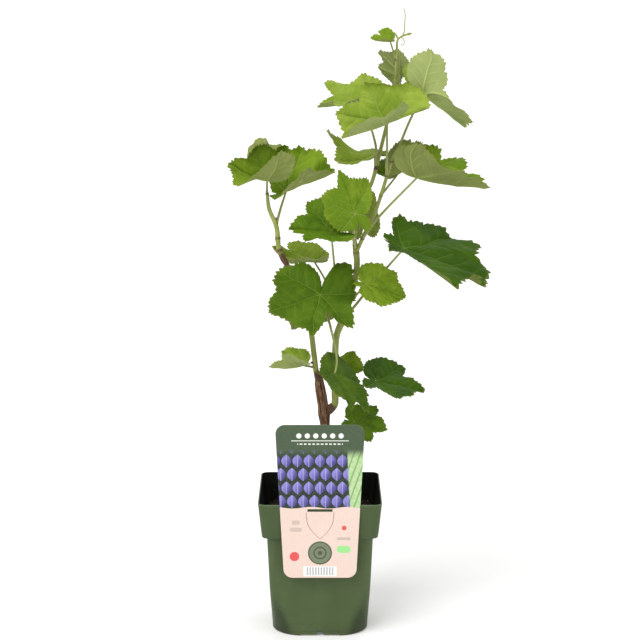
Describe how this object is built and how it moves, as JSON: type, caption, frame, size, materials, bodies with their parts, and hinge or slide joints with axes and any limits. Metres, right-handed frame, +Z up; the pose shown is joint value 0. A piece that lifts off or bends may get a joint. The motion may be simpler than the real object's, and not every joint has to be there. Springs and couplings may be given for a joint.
{
  "type": "potted grapevine",
  "caption": "Young grapevine in a square nursery pot: a woody stem with two green leafy shoots, lobed toothed leaves, a tendril at the tip, and a hang card hooked over the rim.",
  "frame": {"origin": "centre of the pot's flat underside, on the surface that the pot stands on", "axes": "+Z up along the stem, +Y towards the back of the plant, +X to the right as seen from the side that carries the hang card"},
  "size_m": [0.2783, 0.1762, 0.6781],
  "materials": {
    "pot": "semi-matte moulded",
    "soil": "crumbly potting mix",
    "card": "printed sheet with a soft sheen",
    "bark": "rough stringy bark",
    "green_shoot": "smooth young stem with brown nodes",
    "leaf": "satin leaf"
  },
  "bodies": {
    "root": {"pot": "pot", "root_ball": "soil", "hang_card": "card", "trunk": "bark", "left_shoot": "green_shoot", "main_shoot": "green_shoot", "leader": "green_shoot", "side_shoot": "green_shoot", "shoot_tip": "green_shoot", "leaf_tip": "leaf", "leaf_top_small": "leaf", "leaf_top_right": "leaf", "leaf_crown": "leaf", "leaf_crown_back": "leaf", "leaf_crown_under": "leaf", "leaf_right_back": "leaf", "leaf_right_upper": "leaf", "leaf_far_left": "leaf", "leaf_left_upper": "leaf", "leaf_middle_left": "leaf", "leaf_middle_front": "leaf", "leaf_middle_back": "leaf", "leaf_left_middle": "leaf", "leaf_big_front": "leaf", "leaf_far_right": "leaf", "leaf_right_middle": "leaf", "leaf_low_left": "leaf", "leaf_low_front": "leaf", "leaf_low_right": "leaf", "leaf_low_back": "leaf", "leaf_back_low": "leaf", "leaf_foot": "leaf"}
  },
  "joints": []
}
